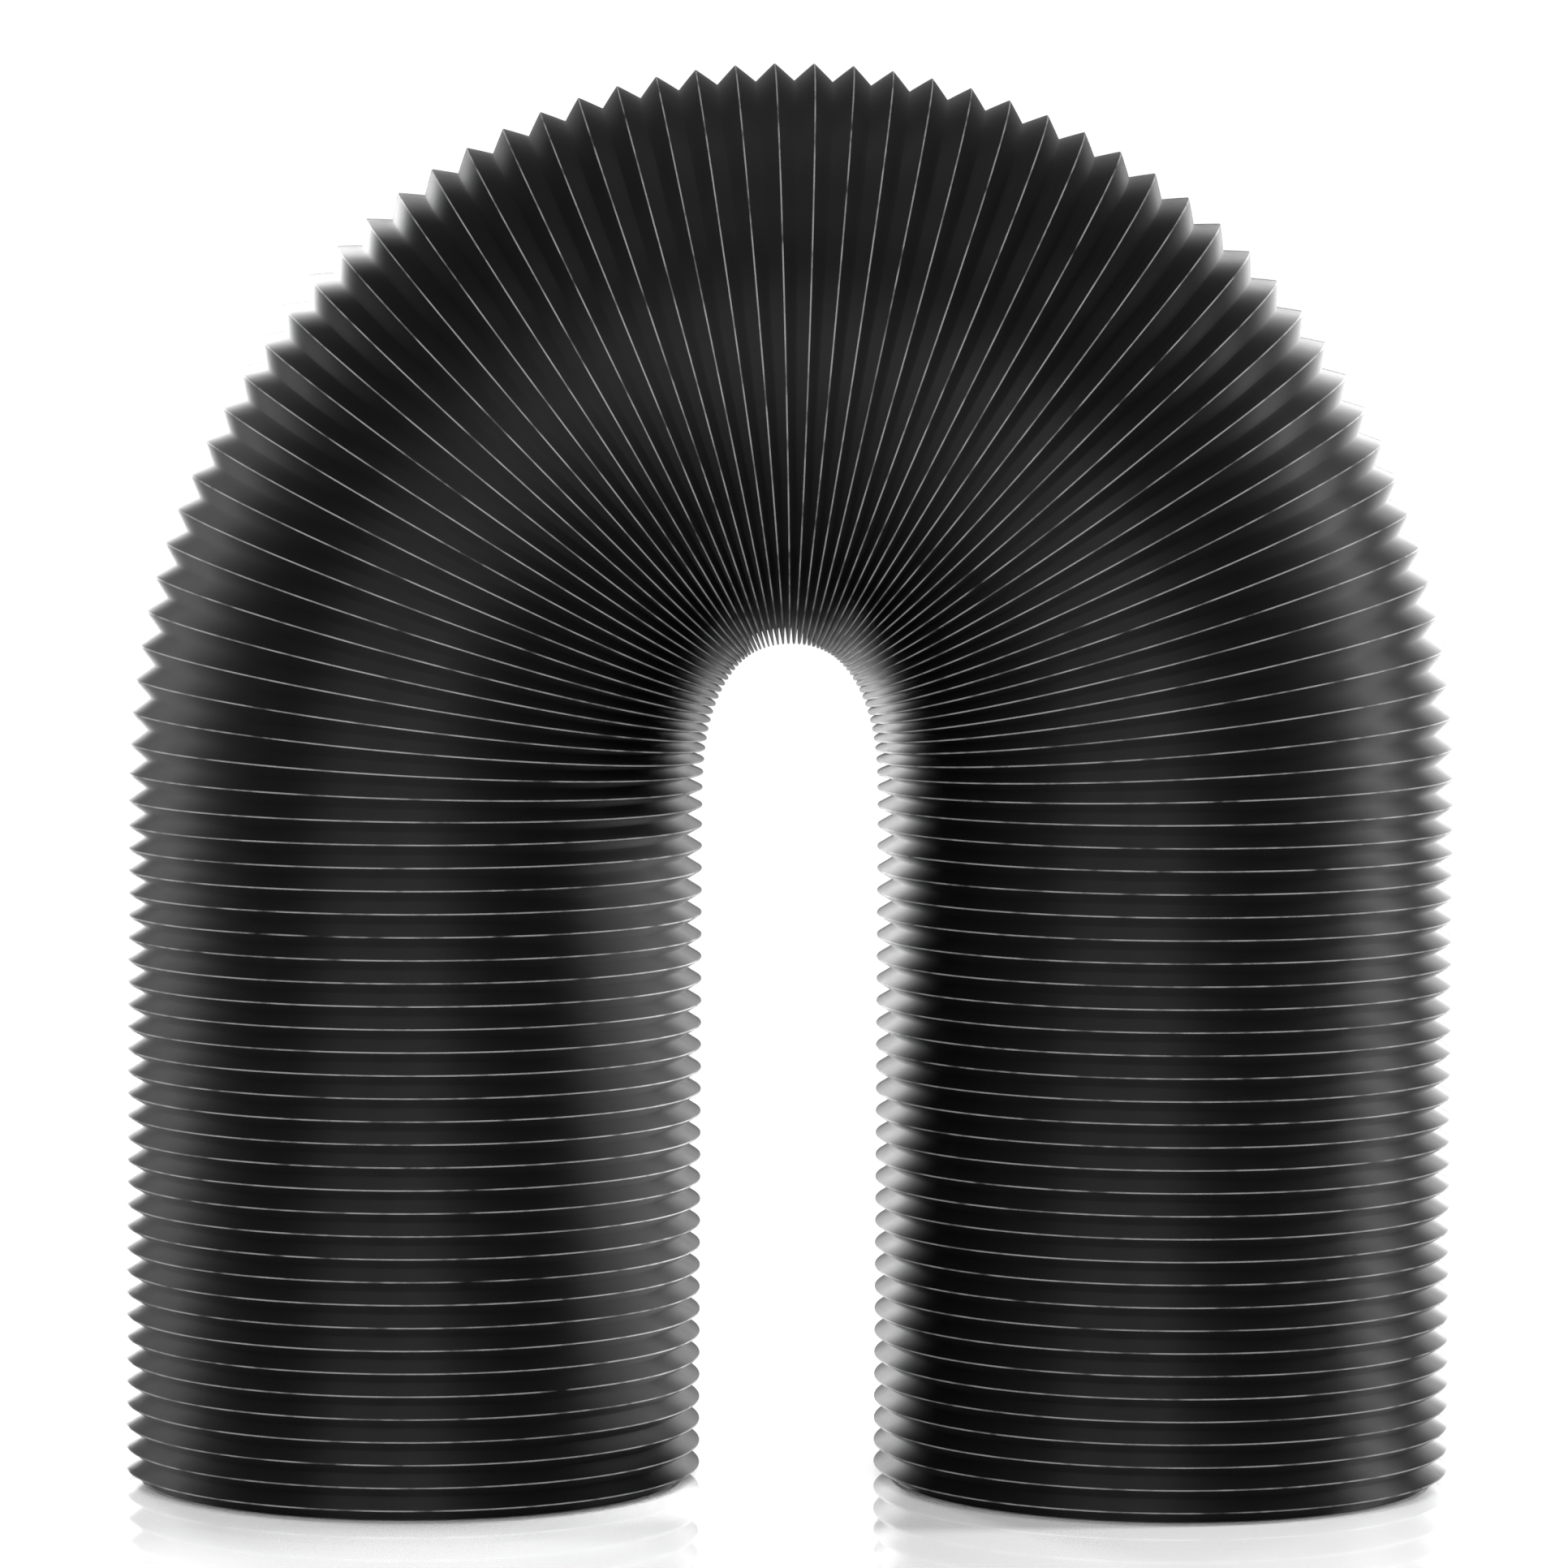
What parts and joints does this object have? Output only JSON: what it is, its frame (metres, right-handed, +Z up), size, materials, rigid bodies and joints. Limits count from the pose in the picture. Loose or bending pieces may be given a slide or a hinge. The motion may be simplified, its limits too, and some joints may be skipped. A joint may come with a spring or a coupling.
{
  "type": "flexible air duct",
  "caption": "Pleated flexible air duct bent into an upright arch, black outside, foil lined, with a steel hoop in each crest and two open cut ends.",
  "frame": {"origin": "on the floor, midway between the axes of the two cut ends", "axes": "+Z up, +X from the left leg to the right leg, the arch lies in the XZ plane"},
  "size_m": [0.499, 0.2166, 0.5303],
  "materials": {
    "black_cover": "black PVC film, satin",
    "foil_liner": "crinkled aluminium foil laminate",
    "steel_wire": "drawn spring steel wire"
  },
  "bodies": {
    "left_leg_1": {"left_leg_1_cover": "black_cover", "left_leg_1_liner": "foil_liner", "left_leg_1_hoops": "steel_wire"},
    "left_leg_2": {"left_leg_2_cover": "black_cover", "left_leg_2_liner": "foil_liner", "left_leg_2_hoops": "steel_wire"},
    "left_leg_3": {"left_leg_3_cover": "black_cover", "left_leg_3_liner": "foil_liner", "left_leg_3_hoops": "steel_wire"},
    "left_arch_1": {"left_arch_1_cover": "black_cover", "left_arch_1_liner": "foil_liner", "left_arch_1_hoops": "steel_wire"},
    "left_arch_2": {"left_arch_2_cover": "black_cover", "left_arch_2_liner": "foil_liner", "left_arch_2_hoops": "steel_wire"},
    "left_arch_3": {"left_arch_3_cover": "black_cover", "left_arch_3_liner": "foil_liner", "left_arch_3_hoops": "steel_wire"},
    "left_arch_4": {"left_arch_4_cover": "black_cover", "left_arch_4_liner": "foil_liner", "left_arch_4_hoops": "steel_wire"},
    "left_arch_5": {"left_arch_5_cover": "black_cover", "left_arch_5_liner": "foil_liner", "left_arch_5_hoops": "steel_wire"},
    "left_arch_6": {"left_arch_6_cover": "black_cover", "left_arch_6_liner": "foil_liner", "left_arch_6_hoops": "steel_wire"},
    "right_arch_6": {"right_arch_6_cover": "black_cover", "right_arch_6_liner": "foil_liner", "right_arch_6_hoops": "steel_wire"},
    "right_arch_5": {"right_arch_5_cover": "black_cover", "right_arch_5_liner": "foil_liner", "right_arch_5_hoops": "steel_wire"},
    "right_arch_4": {"right_arch_4_cover": "black_cover", "right_arch_4_liner": "foil_liner", "right_arch_4_hoops": "steel_wire"},
    "right_arch_3": {"right_arch_3_cover": "black_cover", "right_arch_3_liner": "foil_liner", "right_arch_3_hoops": "steel_wire"},
    "right_arch_2": {"right_arch_2_cover": "black_cover", "right_arch_2_liner": "foil_liner", "right_arch_2_hoops": "steel_wire"},
    "right_arch_1": {"right_arch_1_cover": "black_cover", "right_arch_1_liner": "foil_liner", "right_arch_1_hoops": "steel_wire"},
    "right_leg_3": {"right_leg_3_cover": "black_cover", "right_leg_3_liner": "foil_liner", "right_leg_3_hoops": "steel_wire"},
    "right_leg_2": {"right_leg_2_cover": "black_cover", "right_leg_2_liner": "foil_liner", "right_leg_2_hoops": "steel_wire"},
    "right_leg_1": {"right_leg_1_cover": "black_cover", "right_leg_1_liner": "foil_liner", "right_leg_1_hoops": "steel_wire"}
  },
  "joints": [
    {"name": "left_leg_2_stretch", "type": "slide", "parent": "left_leg_1", "child": "left_leg_2", "axis": [0, 0, 1], "range_m": [-0.04, 0.09], "deforming": ["left_leg_1_cover", "left_leg_1_liner", "left_leg_1_hoops", "left_leg_2_cover", "left_leg_2_liner", "left_leg_2_hoops"]},
    {"name": "left_leg_3_stretch", "type": "slide", "parent": "left_leg_2", "child": "left_leg_3", "axis": [0, 0, 1], "range_m": [-0.04, 0.09], "deforming": ["left_leg_2_cover", "left_leg_2_liner", "left_leg_2_hoops", "left_leg_3_cover", "left_leg_3_liner", "left_leg_3_hoops"]},
    {"name": "left_leg_lean", "type": "hinge", "parent": "left_leg_3", "child": "left_arch_1", "pos_m": [-0.14125, 0, 0.24195], "axis": [1, 0, 0], "range_deg": [-12, 12], "deforming": ["left_leg_3_cover", "left_leg_3_liner", "left_leg_3_hoops", "left_arch_1_cover", "left_arch_1_liner", "left_arch_1_hoops"]},
    {"name": "arch_bend_1", "type": "hinge", "parent": "left_arch_1", "child": "left_arch_2", "pos_m": [-0.21796, 0, 0.30338], "axis": [0, -1, 0], "range_deg": [0, 13.83], "deforming": ["left_arch_1_cover", "left_arch_1_liner", "left_arch_2_cover", "left_arch_2_liner"]},
    {"name": "arch_bend_2", "type": "hinge", "parent": "left_arch_2", "child": "left_arch_3", "pos_m": [-0.20266, 0, 0.36149], "axis": [0, -1, 0], "range_deg": [0, 14.57], "deforming": ["left_arch_2_cover", "left_arch_2_liner", "left_arch_3_cover", "left_arch_3_liner"]},
    {"name": "arch_bend_3", "type": "hinge", "parent": "left_arch_3", "child": "left_arch_4", "pos_m": [-0.17197, 0, 0.4166], "axis": [0, -1, 0], "range_deg": [0, 16.75], "deforming": ["left_arch_3_cover", "left_arch_3_liner", "left_arch_4_cover", "left_arch_4_liner"]},
    {"name": "arch_bend_4", "type": "hinge", "parent": "left_arch_4", "child": "left_arch_5", "pos_m": [-0.12474, 0, 0.46279], "axis": [0, -1, 0], "range_deg": [0, 18.36], "deforming": ["left_arch_4_cover", "left_arch_4_liner", "left_arch_5_cover", "left_arch_5_liner"]},
    {"name": "arch_bend_5", "type": "hinge", "parent": "left_arch_5", "child": "left_arch_6", "pos_m": [-0.06478, 0, 0.49238], "axis": [0, -1, 0], "range_deg": [0, 17.62], "deforming": ["left_arch_5_cover", "left_arch_5_liner", "left_arch_6_cover", "left_arch_6_liner"]},
    {"name": "arch_bend_6", "type": "hinge", "parent": "left_arch_6", "child": "right_arch_6", "pos_m": [0, 0, 0.50213], "axis": [0, -1, 0], "range_deg": [0, 13.53], "deforming": ["left_arch_6_cover", "left_arch_6_liner", "right_arch_6_cover", "right_arch_6_liner"]},
    {"name": "arch_bend_7", "type": "hinge", "parent": "right_arch_6", "child": "right_arch_5", "pos_m": [0.06478, 0, 0.49238], "axis": [0, -1, 0], "range_deg": [0, 17.62], "deforming": ["right_arch_6_cover", "right_arch_6_liner", "right_arch_5_cover", "right_arch_5_liner"]},
    {"name": "arch_bend_8", "type": "hinge", "parent": "right_arch_5", "child": "right_arch_4", "pos_m": [0.12474, 0, 0.46279], "axis": [0, -1, 0], "range_deg": [0, 18.36], "deforming": ["right_arch_5_cover", "right_arch_5_liner", "right_arch_4_cover", "right_arch_4_liner"]},
    {"name": "arch_bend_9", "type": "hinge", "parent": "right_arch_4", "child": "right_arch_3", "pos_m": [0.17197, 0, 0.4166], "axis": [0, -1, 0], "range_deg": [0, 16.75], "deforming": ["right_arch_4_cover", "right_arch_4_liner", "right_arch_3_cover", "right_arch_3_liner"]},
    {"name": "arch_bend_10", "type": "hinge", "parent": "right_arch_3", "child": "right_arch_2", "pos_m": [0.20266, 0, 0.36149], "axis": [0, -1, 0], "range_deg": [0, 14.57], "deforming": ["right_arch_3_cover", "right_arch_3_liner", "right_arch_2_cover", "right_arch_2_liner"]},
    {"name": "arch_bend_11", "type": "hinge", "parent": "right_arch_2", "child": "right_arch_1", "pos_m": [0.21796, 0, 0.30338], "axis": [0, -1, 0], "range_deg": [0, 13.83], "deforming": ["right_arch_2_cover", "right_arch_2_liner", "right_arch_1_cover", "right_arch_1_liner"]},
    {"name": "right_leg_lean", "type": "hinge", "parent": "right_arch_1", "child": "right_leg_3", "pos_m": [0.14125, 0, 0.24195], "axis": [1, 0, 0], "range_deg": [-12, 12], "deforming": ["right_arch_1_cover", "right_arch_1_liner", "right_arch_1_hoops", "right_leg_3_cover", "right_leg_3_liner", "right_leg_3_hoops"]},
    {"name": "right_leg_3_stretch", "type": "slide", "parent": "right_leg_3", "child": "right_leg_2", "axis": [0, 0, -1], "range_m": [-0.04, 0.09], "deforming": ["right_leg_3_cover", "right_leg_3_liner", "right_leg_3_hoops", "right_leg_2_cover", "right_leg_2_liner", "right_leg_2_hoops"]},
    {"name": "right_leg_2_stretch", "type": "slide", "parent": "right_leg_2", "child": "right_leg_1", "axis": [0, 0, -1], "range_m": [-0.04, 0.09], "deforming": ["right_leg_2_cover", "right_leg_2_liner", "right_leg_2_hoops", "right_leg_1_cover", "right_leg_1_liner", "right_leg_1_hoops"]}
  ],
  "couplings": [
    {"joint": "left_leg_3_stretch", "follows": "left_leg_2_stretch", "ratio": 1},
    {"joint": "right_leg_2_stretch", "follows": "right_leg_3_stretch", "ratio": 1},
    {"joint": "right_leg_lean", "follows": "left_leg_lean", "ratio": -1},
    {"joint": "arch_bend_1", "follows": "arch_bend_6", "ratio": 1.0222},
    {"joint": "arch_bend_2", "follows": "arch_bend_6", "ratio": 1.0769},
    {"joint": "arch_bend_3", "follows": "arch_bend_6", "ratio": 1.238},
    {"joint": "arch_bend_4", "follows": "arch_bend_6", "ratio": 1.357},
    {"joint": "arch_bend_5", "follows": "arch_bend_6", "ratio": 1.3023},
    {"joint": "arch_bend_7", "follows": "arch_bend_6", "ratio": 1.3023},
    {"joint": "arch_bend_8", "follows": "arch_bend_6", "ratio": 1.357},
    {"joint": "arch_bend_9", "follows": "arch_bend_6", "ratio": 1.238},
    {"joint": "arch_bend_10", "follows": "arch_bend_6", "ratio": 1.0769},
    {"joint": "arch_bend_11", "follows": "arch_bend_6", "ratio": 1.0222}
  ]
}
